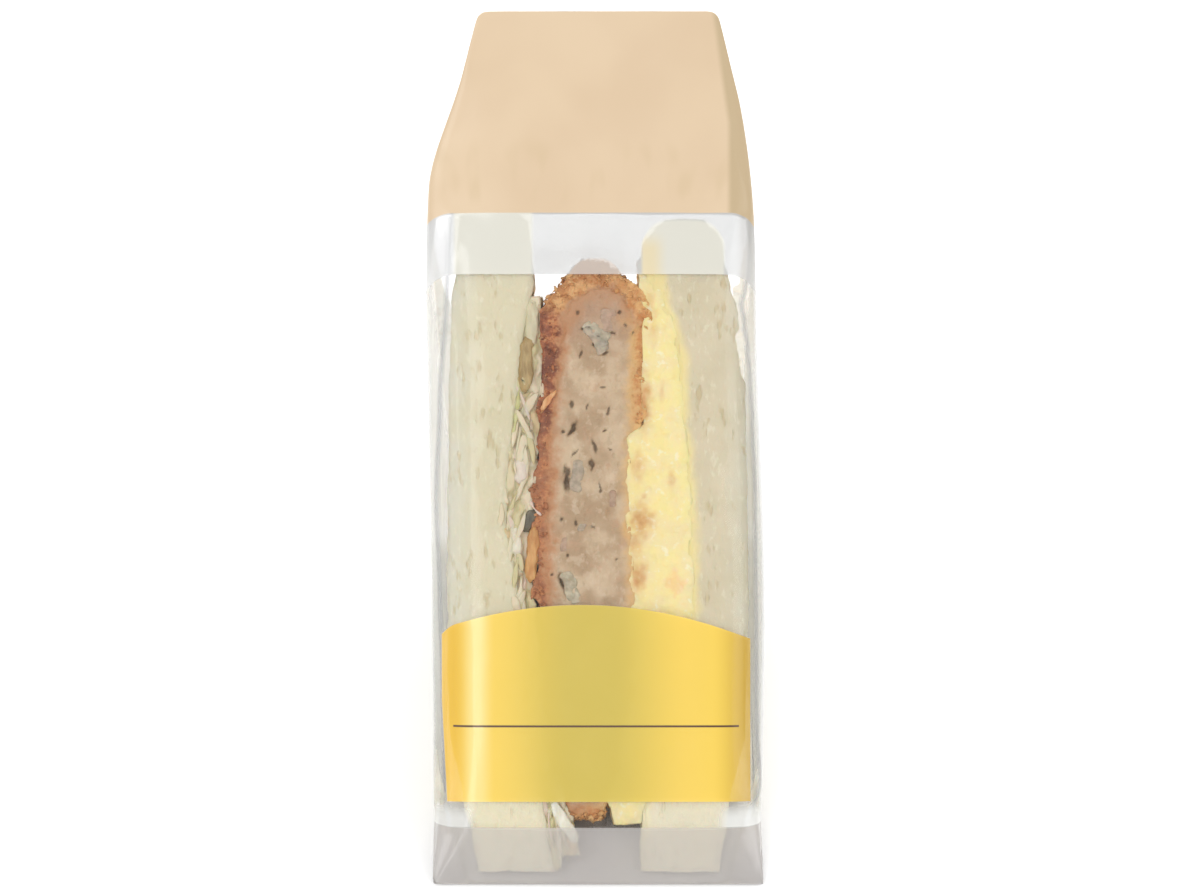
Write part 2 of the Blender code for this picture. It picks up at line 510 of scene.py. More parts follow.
# %% [markdown]
# ## The cutlet
#
# A cutlet of minced meat is an oval patty about 24 mm thick in a coat of coarse crumbs, fried brown.
# The knife leaves one flat face, with pale, close meat in the middle and a ragged ring of crust. So the
# cutlet is one net box, rounded like a bar of soap, with its flat side at the cut. Each point is told
# how deep inside the meat it lies, and both the relief and the colour go from crust to meat by that.

# %% The cutlet's outlines
CRUST_LEFT = [
    (14, -4.5), (16, -6.2), (18, -6.8), (30, -10.5), (45, -12), (60, -12.2), (63.5, -14.2), (66, -14),
    (69, -12.8), (72, -12.9), (77.2, -14.2), (80, -13.6), (83, -13.7), (85.2, -14.5), (88.4, -13.9),
    (93, -12.7), (97, -13.1), (100, -12.5), (104, -13), (108, -12.1), (116, -11.8), (121, -12.3),
    (125, -12.4), (126.7, -10.9), (128.3, -9.8), (129.7, -8.5), (131.9, -6.7), (133.1, -5.5),
    (134.5, -4.5), (135.6, -3),
]
CRUST_RIGHT = [
    (14, 1), (16, 2), (18, 2.8), (30, 6.5), (45, 8.6), (62, 8.6), (73, 8.4), (77, 7.8), (84, 7.5),
    (92, 7.7), (97.5, 8.2), (99.9, 10.2), (103, 11.3), (106.5, 10.8), (112, 10.5), (119.7, 10.6),
    (121.3, 11.7), (123.4, 12.4), (126, 11.7), (129, 10.5), (130.4, 9.2), (131.3, 7.7), (132.4, 5.8),
    (134.1, 3.8), (134.8, 2.2), (135.6, 0.4),
]
MEAT_LEFT = [
    (14, -4.5), (18, -5.8), (40, -8.8), (62, -9.8), (68, -10.6), (76.5, -9.7), (80.4, -10.1), (84, -9.4),
    (94, -9.5), (98, -9.2), (103, -8.5), (108, -8), (118, -7.6), (123, -7.2), (126, -5.8), (128, -3.6),
    (129.4, -1.4),
]
MEAT_RIGHT = [
    (14, 0.5), (18, 2), (40, 7.4), (62, 7.6), (90, 7), (97, 7.6), (107, 7.7), (118, 8.1), (121.3, 8.7),
    (124.5, 8.1), (126.6, 6.9), (128, 5), (129.4, 2.4),
]
CRUST_SPAN = (14.2, 135.1)
MEAT_SPAN = (16.8, 129.4)
CRUST_DEPTH = 52
ROUNDNESS = 4
CUT_FACE = 0.7
CRUST_SINK = 0.35
BACK_FROM = -12
BACK_SMOOTHINGS = 3
CUTLET_NET = (83, 379, 15)
IN_CRUST = -4
SLITS_TO = -1.5


def rounded(across, back):
    """Draws a point of a section in, so that the corners behind the cut are round."""
    total = (abs(across) ** ROUNDNESS + abs(back) ** ROUNDNESS) ** (1 / ROUNDNESS)
    largest = max(abs(across), abs(back))
    return across * largest / total, back * largest / total


def inside_meat(u, v):
    """Millimetres from the meat's edge, on the cut face: above 0 in the meat, below 0 in the crust."""
    beside = min(u - along(MEAT_LEFT, v), along(MEAT_RIGHT, v) - u)
    return min(beside, v - MEAT_SPAN[0], MEAT_SPAN[1] - v)


# %% Slits and hollows in the meat
MEAT_SLITS = [
    # across, up, half length, half width, turn in degrees, depth
    (-4, 124.6, 0.5, 0.45, 0, 0.6), (5.2, 124.6, 0.6, 0.5, 30, 1), (-2.7, 121.3, 0.9, 0.5, 30, 1),
    (3.6, 120.1, 0.9, 0.4, -15, 0.9), (6.5, 121.9, 0.7, 0.3, -60, 0.5), (8.1, 120.2, 0.6, 0.25, 75, 0.5),
    (-3.3, 115.5, 1.2, 0.3, 78, 0.8), (-0.3, 117.5, 0.8, 0.4, -60, 0.9), (2, 115.8, 1, 0.35, 20, 0.8),
    (-5.3, 104.6, 1.1, 0.55, 88, 0.9), (-2, 104.1, 0.9, 0.25, 75, 0.6), (2.7, 103.3, 1.2, 0.25, 78, 0.7),
    (2.6, 102.5, 0.5, 0.4, 0, 0.9), (-7.2, 98.6, 0.5, 0.45, 0, 1), (-5.1, 99.1, 2.1, 0.6, 60, 1.6),
    (1.9, 98.8, 0.6, 0.35, 45, 0.9), (-0.3, 95.5, 2, 0.36, -70, 1.1), (-1, 91.4, 1.6, 0.55, -80, 1.1),
    (1, 86.5, 1.6, 0.22, -75, 0.6), (1, 85.7, 0.5, 0.35, 80, 0.8), (3.1, 94.8, 0.7, 0.2, -30, 0.5),
    (-6.3, 88.5, 3.4, 0.75, -86, 1.8), (-4.6, 94, 1.5, 0.25, 45, 0.6), (-7.4, 79.4, 0.5, 0.4, 60, 1),
    (-4.4, 78.7, 0.8, 0.3, 85, 0.8), (-0.7, 77.8, 0.8, 0.25, -40, 0.6), (-6.1, 71.6, 0.4, 0.35, 60, 0.8),
    (-9.6, 67.3, 0.4, 0.35, 0, 0.8), (-7, 65.2, 3.5, 0.65, -66, 1.6), (7.3, 92.2, 0.6, 0.42, -15, 1),
    (7.3, 88.4, 0.4, 0.4, 0, 0.7), (1.5, 108.3, 0.9, 0.35, 0, 0.4), (4.4, 70.8, 0.4, 0.3, 70, 0.5),
]


def slit_at(u, v):
    """How much of a slit a point lies in, and its depth there."""
    most, deepest = 0, 0
    for middle_u, middle_v, half, width, turned, deep in MEAT_SLITS:
        du, dv = u - middle_u, v - middle_v
        if abs(du) > 4 or abs(dv) > 4:
            continue
        turn = math.radians(turned)
        along_it = (du * math.cos(turn) + dv * math.sin(turn)) / half
        beside_it = (dv * math.cos(turn) - du * math.sin(turn)) / width
        beside_it += 0.8 * ripple((u, v, 0), 1.1, 37, 2)
        share = max(0, 1 - math.hypot(along_it, beside_it) ** 2)
        if share * deep > deepest:
            most, deepest = share, share * deep
    return most, deepest


# %% Shape the cutlet
def cutlet_body():
    """The cutlet, and the normals that its faces have before crumbs and slits are worked into it."""
    bm = net_box(CUTLET_NET)
    core = bm.verts.layers.float.new("core")
    dark = bm.verts.layers.float.new("dark")
    for vert in bm.verts:
        v = between(CRUST_SPAN, vert.co.y + 0.5)
        across, back = rounded(2 * vert.co.x, 0.5 - vert.co.z)
        left, right = along(CRUST_LEFT, v), along(CRUST_RIGHT, v)
        u = (left + right) / 2 + across * (right - left) / 2
        depth = CRUST_DEPTH * max(0.04, 1 - abs(2 * vert.co.y) ** 3) ** (1 / 3)
        vert.co = (u, v, -(CUT_FACE + back * depth))
        wander = 0.8 * ripple((u, v, 0), 4.5, 35, 2) * (1 + 1.6 * ease(v, 113, 127))
        wander += 0.35 * ripple((u, v, 0), 1.5, 36)
        vert[core] = inside_meat(u, v) + wander if back < 0.01 else IN_CRUST
    bm.normal_update()
    plain_normals = [face.normal.copy() for face in bm.faces]
    moves = []
    for vert in bm.verts:
        at = vert.co
        in_meat = ease(vert[core], -0.9, 0.6)
        crumbs = 0.45 * ripple(at, 3.6, 41, 3) + 0.28 * abs(ripple(at, 1.5, 42, 2)) - 0.15
        lumps = 0.22 * ripple(at, 6, 31, 3) + 0.12 * ripple(at, 1.4, 32, 2)
        lumps -= 0.5 * pore_pit(at, 2, 34)
        dark_here, deep = slit_at(at.x, at.y) if at.z > SLITS_TO else (0, 0)
        vert[dark] = dark_here
        sink = CRUST_SINK * (1 - in_meat) * (vert[core] > IN_CRUST + 0.1)
        moves.append(vert.normal * (crumbs * (1 - in_meat) + (lumps - deep) * in_meat - sink))
    for vert, move in zip(bm.verts, moves):
        vert.co += move
    smooth(bm, [vert for vert in bm.verts if vert.co.z < BACK_FROM], BACK_SMOOTHINGS)
    return bm, plain_normals


# %% The cutlet's finish
def browned(paint, patches, fine):
    """Fried crumb: dark and red where sauce has soaked in at the left, golden at the top and right."""
    top = (paint.v - 121 - (paint.u + 4).size() * 0.35).rise(0, 6)
    side = paint.u.rise(-9.5, -1).most(top)
    golden = paint.mix(patches, (206, 140, 74), (234, 188, 122))
    soaked = paint.mix(patches, (130, 68, 36), (188, 112, 64))
    soaked = paint.mix((patches - 0.7).rise(0, 0.3) * 0.5, soaked, (226, 160, 98))
    lower = paint.v.rise(108, 84)
    soaked = paint.mix(lower * 0.42, soaked, (210, 148, 98))
    colour = paint.mix(side, soaked, golden)
    crown = paint.mix(patches, (200, 136, 74), (234, 186, 124))
    crown = paint.mix(paint.u.rise(0, 9) * 0.55, crown, (238, 192, 122))
    colour = paint.mix(top * 0.8, colour, crown)
    colour = paint.mix(fine.rise(0.55, 0.72) * 0.45, colour, (240, 192, 138))
    return paint.mix(fine.rise(0.44, 0.28) * 0.4, colour, (122, 70, 44))


def cutlet_paint():
    paint = Paint("cutlet")
    core = paint.layer("core")
    dark = paint.layer("dark")
    patches = paint.noise(2.8, 3, 0.6)
    fine = paint.noise(1, 3, 0.6)
    large = paint.noise(7, 2, 0.5)
    torn = paint.noise(2.2, 3, 0.6, (1, 0.7, 1))
    meat = paint.mix(large.rise(0.38, 0.62), (190, 162, 127), (216, 193, 160))
    meat = paint.mix(patches.rise(0.55, 0.70) * 0.5, meat, (206, 168, 134))
    meat = paint.mix(patches.rise(0.45, 0.34) * 0.5, meat, (222, 202, 172))
    meat = paint.mix(torn.rise(0.56, 0.70) * 0.4, meat, (230, 210, 182))
    meat = paint.mix(torn.rise(0.42, 0.30) * 0.25, meat, (166, 138, 104))
    meat = paint.mix(paint.v.rise(113, 125) * 0.65, meat, (188, 150, 120))
    crust = browned(paint, patches.rise(0.36, 0.64), fine)
    fried_edge = paint.mix(paint.u.rise(-5, 3), (200, 144, 96), (228, 188, 128))
    head = paint.v.rise(117, 127)
    fried_edge = paint.mix(head, fried_edge, (200, 154, 112))
    depth = core + (fine - 0.5) * 1.6 + (patches - 0.5) * 3.4
    colour = paint.mix(depth.rise(-2.1, -0.2), crust, fried_edge)
    colour = paint.mix((depth - head * 2 - 0.6).rise(-1.6, 1.9), colour, meat)
    # Painted shade in the slits and hollows of the meat.
    colour = paint.mix(dark.rise(0, 0.8) * 0.75, colour, (104, 82, 56))
    return paint.food(colour, 0.5, torn * 0.5 + fine * 0.5, 0.6, 0.12, 0.0015)


CRUST_FROM = -1.2
FACES_FRONT = 0.7

cutlet, plain_normals = cutlet_body()
press_inside(cutlet)
middles = [face.calc_center_median() for face in cutlet.faces]
crust_points = [
    (at, normal)
    for at, normal in zip(middles, plain_normals)
    if inside_meat(at.x, at.y) < CRUST_FROM or normal.z < FACES_FRONT
]
finish_piece("cutlet", cutlet, cutlet_paint())
print("faces in the crust:", len(crust_points))

# %% [markdown]
# The coat is coarse bread crumb, and its flakes stick out past the edge. They are few enough to be
# real shapes: small angular shards of twenty faces, strewn over the crust, and closest near the cut.
# Each carries a number of its own in an attribute, from which the material takes a lighter or a
# darker brown.

# %% Crumb flakes on the crust
FLAKES = 2600
FLAKE_SIZE = (0.16, 0.80)
NEAR_CUT = -8
HEAD_FROM = 127


def strewn_flakes(rng):
    bm = bmesh.new()
    tone = bm.verts.layers.float.new("tone")
    outer = [(at, normal) for at, normal in crust_points if normal.z < FACES_FRONT]
    on_cut = [(at, normal) for at, normal in crust_points if normal.z >= FACES_FRONT]
    near_cut = [(at, normal) for at, normal in outer if at.z > NEAR_CUT]
    head = [(at, normal) for at, normal in near_cut if at.y > HEAD_FROM]
    sources = (near_cut, near_cut, outer, outer, outer, on_cut, head)
    for i in range(FLAKES):
        at, normal = rng.choice(sources[i % len(sources)])
        size = between(FLAKE_SIZE, rng.random() ** 2.2)
        made = bmesh.ops.create_icosphere(bm, subdivisions=1, radius=size)["verts"]
        shape = Matrix.Diagonal((rng.uniform(0.5, 2), rng.uniform(0.4, 1.1), rng.uniform(0.25, 0.6)))
        turn = Matrix.Rotation(rng.uniform(0, 6.28), 3, (rng.random() + 0.1, rng.random(), rng.random()))
        middle = at + normal * rng.uniform(-0.15, 0.5)
        own_tone = rng.random()
        for vert in made:
            jag = 1 + rng.uniform(-0.35, 0.35)
            vert.co = middle + turn @ (shape @ (vert.co * jag))
            vert[tone] = own_tone
    return bm


def flake_paint():
    paint = Paint("crumb flakes")
    tone = paint.layer("tone")
    fine = paint.noise(0.9, 2)
    return paint.food(browned(paint, tone, fine), 0.6, fine, 0.3)


flakes = strewn_flakes(random.Random(5))
press_inside(flakes, FLAKE_GAP)
finish_piece("cutlet_flakes", flakes, flake_paint())

# %% [markdown]
# ## Onion in the meat
#
# The cut shows a few glassy bits of onion. Each bit is a short, bent slab, sunk in the meat until it is
# almost flush, in a slightly clear grey. Many small bodies go into one piece, so there is a helper
# that adds one net to another and gives its points a tone.

# %% Bits of onion
ONION_BITS = [
    # across, up, wide, tall, turn in degrees, tone (0 is rosy, 0.5 grey, 1 green)
    (0.2, 120.7, 2.3, 6.8, 63, 0.8), (-0.1, 119.2, 2.3, 6.6, 50, 0.5), (1.3, 117.2, 3.2, 2.8, 30, 0.4),
    (2.5, 123, 3.6, 5.2, 4, 0), (-4.1, 88.9, 2.7, 7.4, -3, 0.5), (-3.1, 77.8, 1.5, 1.6, 0, 0.6),
    (-5.5, 64.7, 3, 7.6, 22, 1), (3.6, 84, 1.6, 3.6, 15, 0.1), (-7, 74, 1.4, 3, 8, 0),
]
ONION_NET = (9, 17, 3)
ONION_THICK = 2
ONION_AT = -1.57


def add_body(bm, body, tone):
    """Adds a body to a piece of many bodies. tone gives each of its points a number."""
    mesh = mesh_from("body", body)
    before = len(bm.verts)
    bm.from_mesh(mesh)
    bpy.data.meshes.remove(mesh)
    bm.verts.ensure_lookup_table()
    layer = bm.verts.layers.float["tone"]
    for vert in bm.verts[before:]:
        vert[layer] = tone


def onion_pieces():
    bm = bmesh.new()
    bm.verts.layers.float.new("tone")
    for u, v, wide, tall, turned, tone in ONION_BITS:
        bit = net_box(ONION_NET)
        size = Matrix.Diagonal((wide, tall, ONION_THICK))
        turn = turned_by(turned)
        for vert in bit.verts:
            soft = vert.co * (1 - 0.16 * (vert.co.xy.length / 0.71) ** 4)
            bent = size @ soft
            bent += Vector((0.30 * math.sin(bent.y), 0, 0.15 * math.cos(bent.x * 1.3)))
            vert.co = turn @ bent + Vector((u, v, ONION_AT))
        swell(bit, lambda at: 0.34 * ripple(at, 1.5, 51, 2))
        add_body(bm, bit, tone)
    return bm


def onion_paint():
    paint = Paint("onion")
    tone = paint.layer("tone")
    cloudy = paint.noise(1.4, 3).rise(0.3, 0.7)
    grey = paint.mix(cloudy, (168, 154, 132), (200, 184, 160))
    green = paint.mix(cloudy, (174, 162, 134), (208, 198, 172))
    rosy = paint.mix(cloudy, (176, 147, 122), (200, 172, 146))
    colour = paint.mix(tone.rise(0.1, 0.4), rosy, grey)
    colour = paint.mix(tone.rise(0.6, 0.9), colour, green)
    return paint.food(colour, 0.35, paint.noise(0.9), 0.2, 0.2)


onion = onion_pieces()
press_inside(onion)
finish_piece("cutlet_onion", onion, onion_paint())

# %% [markdown]
# ## Cabbage
#
# Shredded cabbage is a tangle of folded leaf strips, white near the rib and green at the rim. The knife
# cuts them short, so the cut face shows thick, pale lens shapes with olive gaps between them, and only
# a few long threads. Each strip is a small net box, drawn to a point at both ends, bent and twisted.
# Behind them a bed keeps the heap closed: its surface is parted into cells, each one a folded leaf that
# bulges between the creases at its edges. Rims and creases are olive: partly the leaf's green rim, partly
# painted shade.

# %% The cabbage heap
CABBAGE_LEFT = [
    (5, -9.5), (17, -12), (40, -16), (61, -17), (68, -17.8), (78, -20.2), (90, -19.8), (98, -18.4),
    (108, -17.6), (118, -17), (128, -14.2),
]
CABBAGE_RIGHT = [
    (5, -3.5), (17, -5), (40, -11.2), (60, -13.2), (66, -13.6), (70, -12.4), (77, -13.6), (84, -13),
    (97, -12.3), (108, -11.6), (118, -11.4), (129, -12),
]
CABBAGE_SPAN = (6, 128)
BACK_DRIFT = 5
LEAF_WIDTH = 2.3
BED_NET = (21, 399, 11)
BED_FRONT = 1.3


def drift(w):
    """The heap leans towards the middle of the pack as it goes back."""
    return BACK_DRIFT * (w / HALF_FACE) ** 2


def leaf_at(at, wide, seed):
    """How far inside a folded leaf a point of the heap lies, and a number that the leaf has for itself."""
    warp = Vector((ripple(at, 3.4, seed, 2), 0.5 * ripple(at, 4.2, seed + 1, 2), 0)) * 0.45
    where = Vector((at[0] / wide, at[1] / (wide * 2.5), at[2] / (wide * 2))) + warp
    distances, middles = noise.voronoi(where + Vector((seed, seed, seed)))
    own = 0.5 + 1.1 * noise.noise(middles[0] * 5.3)
    return distances[1] - distances[0], min(1, max(0, own))


def cabbage_bed():
    bm = net_box(BED_NET)
    tone = bm.verts.layers.float.new("tone")
    rim = bm.verts.layers.float.new("rim")
    for vert in bm.verts:
        v = between(CABBAGE_SPAN, vert.co.y + 0.5)
        w = BED_FRONT + (0.5 - vert.co.z) * max(2, pack_depth(v) - 9)
        left, right = along(CABBAGE_LEFT, v), along(CABBAGE_RIGHT, v)
        vert.co = (left + (vert.co.x + 0.5) * (right - left) + drift(w), v, -w)
        inside, own = leaf_at(vert.co, LEAF_WIDTH, 66)
        vert[tone] = own
        vert[rim] = 1 - ease(inside, 0, 0.30)

    def folds(at):
        inside, _ = leaf_at(at, LEAF_WIDTH, 66)
        return 0.75 * ease(inside, 0, 0.5) - 0.5 + 0.3 * ripple(at, 3.2, 61, 2)

    swell(bm, folds)
    return bm


# %% Cabbage leaves
CUT_STRIPS = 62
STRIPS_END = 107
CARROT_SPAN = (56, 86)
CARROT_PUSH = 1.6
BESIDE_CARROT = 2.4
DEEP_STRIPS = 150
TILT = 15
TIP_IN = 14
LEAF_NET = (5, 9, 3)


def strip(length, width, thick, bend, twist, bluntness=2.6):
    """One leaf strip along V, drawn in at both ends. Its rim layer is 1 at the two edges."""
    body = net_box(LEAF_NET)
    layer = body.verts.layers.float.new("rim")
    for vert in body.verts:
        share = vert.co.y
        vert[layer] = max(abs(vert.co.x) * 2, abs(share * 2) ** 3)
        taper = (1 - 0.88 * abs(share * 2) ** bluntness) ** 0.8
        flat = Vector((vert.co.x * thick * taper, 0, vert.co.z * width * taper))
        flat *= 1 - 0.25 * (math.hypot(vert.co.x, vert.co.z) / 0.71) ** 4
        flat = Matrix.Rotation(twist * share, 3, "Y") @ flat
        vert.co = flat + Vector((bend * length * (share * share - 0.08), share * length, 0))
    return body


def cabbage_strips(rng):
    bm = bmesh.new()
    bm.verts.layers.float.new("tone")
    bm.verts.layers.float.new("rim")
    first, last = CABBAGE_SPAN
    for i in range(CUT_STRIPS + DEEP_STRIPS):
        at_cut = i < CUT_STRIPS
        if at_cut:
            v = first + (i + 0.5) / CUT_STRIPS * (STRIPS_END - first)
        else:
            v = rng.uniform(first + 3, last - 3)
        w = 1.2 + 0.4 * (i % 3) if at_cut else rng.uniform(4, max(5, pack_depth(v) - 5))
        left, right = along(CABBAGE_LEFT, v), along(CABBAGE_RIGHT, v)
        u = left + 0.6 + (right - left - 2.6) * ((i * 0.38) % 1 if at_cut else rng.random()) + drift(w)
        if at_cut and CARROT_SPAN[0] < v < CARROT_SPAN[1]:
            u = min(u - CARROT_PUSH, left + BESIDE_CARROT)
        if at_cut:
            sizes = [rng.uniform(4, 13), rng.uniform(1, 1.6), rng.uniform(0.5, 2.3)]
            body = strip(*sizes, rng.uniform(-0.4, 0.4), 0.5)
            turn = turned_by(rng.gauss(0, TILT)) @ turned_by(rng.uniform(-TIP_IN, TIP_IN), "X")
        else:
            sizes = [rng.uniform(9, 24), rng.uniform(1.2, 2.4), rng.uniform(0.5, 0.9)]
            body = strip(*sizes, rng.uniform(-0.3, 0.3), 1.2)
            turn = turned_by(rng.uniform(-90, 90), "X")
        for vert in body.verts:
            vert.co = turn @ vert.co + Vector((u, v, -w))
        swell(body, lambda at: 0.36 * ripple(at, 1.9, 62, 2))
        add_body(bm, body, rng.random())
    return bm


def cabbage_paint(name, edge_from):
    paint = Paint(name)
    tone = paint.layer("tone")
    rim = paint.layer("rim")
    veins = paint.noise(1.3, 2, 0.5, (1, 0.35, 1))
    pale = paint.mix(veins, (226, 211, 178), (238, 225, 198))
    green = paint.mix(veins, (208, 198, 148), (224, 213, 168))
    tan = paint.mix(veins, (208, 182, 132), (230, 208, 164))
    colour = paint.mix(tone.rise(0.52, 0.72), pale, green)
    colour = paint.mix(tone.rise(0.84, 0.88), colour, tan)
    colour = paint.mix(tone.rise(0.14, 0.10), colour, (230, 210, 192))
    # Olive at the rims of the leaves and in the creases between them: partly the green rim, partly painted
    # shade.
    edge = (rim + (veins - 0.5) * 0.7).rise(edge_from, 1.10)
    colour = paint.mix(edge * 0.55, colour, (186, 174, 124))
    return paint.food(colour, 0.42, veins, 0.2, 0.2)


bed = cabbage_bed()
press_inside(bed)
finish_piece("cabbage_bed", bed, cabbage_paint("cabbage heap", 0.3))
strips = cabbage_strips(random.Random(12))
press_inside(strips, SMALL_GAP)
finish_piece("cabbage_strips", strips, cabbage_paint("cabbage strip", 0.8))

# %% [markdown]
# Ten pieces stand out from the heap: a browned leaf near the head, a long strip of carrot, a dark leaf
# in a gap, a sliver of crust, a pale strip that has slipped down to the foot, and five single leaves of
# cabbage. They are strips of the same kind, each with a place and a colour of its own.

# %% Pieces that stand out
LOOSE_BLUNTNESS = 4.5
LOOSE_STRIPS = {
    # name: across, up, inwards, length, width, thick, turn in degrees, bend, colours
    "leaf_browned": (-15.3, 113.4, 1.7, 13, 3, 3.5, -3, 0.03, (162, 134, 82), (196, 170, 118)),
    "carrot_strip": (-13.9, 71.8, 1.3, 12.6, 2.4, 2.7, -5, 0.02, (196, 138, 72), (222, 174, 108)),
    "leaf_dark": (-14.7, 79.2, 1.9, 5.6, 2.6, 2.6, -24, 0.08, (92, 86, 70), (124, 118, 98)),
    "crust_sliver": (-10.6, 105.2, 1, 6.8, 1.6, 1.2, -35, 0.06, (216, 150, 90), (240, 194, 138)),
    "cabbage_slip": (-7, 13.6, 0.9, 11, 1.6, 2.8, 31, 0.06, (232, 228, 204), (248, 246, 232)),
    "cabbage_curl": (-13.4, 82, 0.9, 4.2, 0.7, 0.5, 36, 0.3, (230, 200, 182), (246, 230, 216)),
    "cabbage_rim": (-17.3, 103.2, 1.3, 10, 2, 0.8, -7, -0.06, (190, 188, 118), (214, 212, 158)),
    "cabbage_rib": (-14, 122.6, 1.9, 11, 2.6, 3, -2, 0.03, (206, 198, 164), (224, 216, 184)),
    "cabbage_point": (-17.4, 74.6, 1.7, 7.4, 2.6, 2.4, 8, 0.05, (222, 214, 190), (238, 232, 212)),
    "cabbage_fold": (-16.4, 90.2, 1.7, 5.6, 2.6, 3, -6, 0.04, (220, 206, 188), (238, 226, 212)),
}


def strip_paint(name, deep, pale):
    paint = Paint(name)
    grain = paint.noise(1.1, 3, 0.55, (1, 0.3, 1))
    return paint.food(paint.mix(grain.rise(0.3, 0.7), deep, pale), 0.42, grain, 0.3, 0.15)


for name, (u, v, w, length, width, thick, turned, bend, deep, pale) in LOOSE_STRIPS.items():
    body = strip(length, width, thick, bend, 0.3, LOOSE_BLUNTNESS)
    bmesh.ops.subdivide_edges(body, edges=body.edges, cuts=1, use_grid_fill=True)
    turn = turned_by(turned)
    for vert in body.verts:
        vert.co = turn @ vert.co + Vector((u, v, -w))
    swell(body, lambda at: 0.42 * ripple(at, 2, 63, 2))
    press_inside(body, SMALL_GAP)
    finish_piece(name, body, strip_paint(name.replace("_", " "), deep, pale))

# %% [markdown]
# ## Egg salad
#
# Chopped boiled egg in dressing is a soft paste with firmer lumps: cream coloured where it is mostly
# white, deeper yellow where yolk shows. It fills the room between the cutlet and the right slice.

# %% Egg salad
EGG_LEFT = [
    (12, 4.2), (15, 3.3), (18, 2.6), (30, 5), (40, 7), (62, 7.2), (84, 6.6), (97, 7), (101, 10.2),
    (107, 10), (120, 9.9), (124, 10.4), (129, 9.2), (134, 9.4), (141, 10.4),
]
EGG_SPAN = (12.8, 141)
EGG_NET = (35, 259, 23)
EGG_FRONT = 0.9
STAINS_TO = -3
EGG_STAINS = [
    # across, up, half width, half height, strength
    (10.4, 104.8, 1.3, 4.6, 0.9), (9.2, 91.1, 1.3, 2.6, 0.55), (9.8, 79.2, 2, 3, 0.9),
    (8.4, 74.6, 1.6, 2.8, 0.6), (10, 69.1, 0.9, 1.4, 0.6), (9.2, 66.6, 1.3, 2.6, 0.8),
    (14.4, 107.6, 0.5, 1.4, 0.35), (16.5, 88.3, 0.6, 2.2, 0.4), (11.6, 127, 0.8, 2, 0.35),
    (12.6, 121, 0.7, 2.6, 0.3), (10.5, 84.5, 0.5, 0.5, 0.5),
]


def stain_at(u, v):
    """How much crust fat has stained the egg at a point of the cut face."""
    most = 0
    for middle_u, middle_v, wide, tall, strength in EGG_STAINS:
        reach = math.hypot((u - middle_u) / wide, (v - middle_v) / tall)
        reach += 0.6 * ripple((u, v, 0), 1.8, 77, 2)
        most = max(most, strength * (1 - ease(reach, 0, 2)))
    return most


def egg_relief(at):
    lumps = 0.65 * ripple(at, 5.5, 71, 2) + 0.34 * abs(ripple(at, 2.6, 72, 2)) + 0.07 * ripple(at, 0.9, 73)
    return lumps - 0.15


def egg_body():
    bm = net_box(EGG_NET)
    for vert in bm.verts:
        v = between(EGG_SPAN, vert.co.y + 0.5)
        v -= 2 * ease(abs(vert.co.x) * 2, 0.5, 1) * ease(vert.co.y, 0.4, 0.5)
        w = EGG_FRONT + (0.5 - vert.co.z) * max(2, pack_depth(v) - 7)
        left, right = along(EGG_LEFT, v), along(EGG_RIGHT, v)
        left += 0.5 * ripple((0, v, w), 5, 78, 2)
        u = left + (vert.co.x + 0.5) * (right - left)
        vert.co = (u * (1 - PINCH * (w / HALF_FACE) ** 2), v, -w)
    stain = bm.verts.layers.float.new("stain")
    for vert in bm.verts:
        vert[stain] = stain_at(vert.co.x, vert.co.y) if vert.co.z > STAINS_TO else 0
    swell(bm, egg_relief)
    return bm


def egg_paint():
    paint = Paint("egg salad")
    lumps = paint.noise(4, 2)
    small = paint.noise(1.5, 2)
    stain = paint.layer("stain")
    colour = paint.mix(lumps.rise(0.35, 0.65), (248, 232, 180), (252, 236, 168))
    colour = paint.mix(small.rise(0.60, 0.75) * 0.3, colour, (250, 220, 134))
    colour = paint.mix(small.rise(0.42, 0.28) * 0.6, colour, (254, 250, 226))
    yolk = (paint.u - 17.2).size() * 0.30 + (paint.v - 65.5).size() * 0.22 + (small - 0.5) * 1.2
    colour = paint.mix(yolk.rise(1, 0.4) * 0.6, colour, (252, 208, 146))
    colour = paint.mix(stain + (small - 0.5) * stain, colour, (212, 158, 96))
    return paint.food(colour, 0.42, lumps * 0.5 + small * 0.5, 0.5, 0.2, 0.002)


egg = egg_body()
press_inside(egg)
finish_piece("egg_salad", egg, egg_paint())

# %% [markdown]
# ## The film's print
#
# The film is clear, with fields of ink on it: a beige header, a milky band below it, a yellow field
# across the lower front with a thin rule, and a milky band at the foot. One material does all of it.
# Masks worked out from the place on the pack say how much ink there is, and that number mixes a
# see-through film with a solid ink, so the edges stay sharp at any size.

# %% The print's measures, in millimetres
HEADER_EDGE = 146.4
BAND_EDGE = 133
BAND_DEPTH = 8
FOOT_EDGE = 12.3
FIELD_SIDES = (-33.8, 33.8)
FIELD_HALF = 34
FIELD_MIDDLE = -3.05
FIELD_BOTTOM = 17.9
FIELD_TOP = 60.9
FIELD_TOP_DROP = 6.4
FIELD_DEPTH = 9
RULE_AT = 34.4
RULE_WIDTH = 0.45
RULE_REACH = 31.2
SOFT = 0.12
RULE_SOFT = 0.06


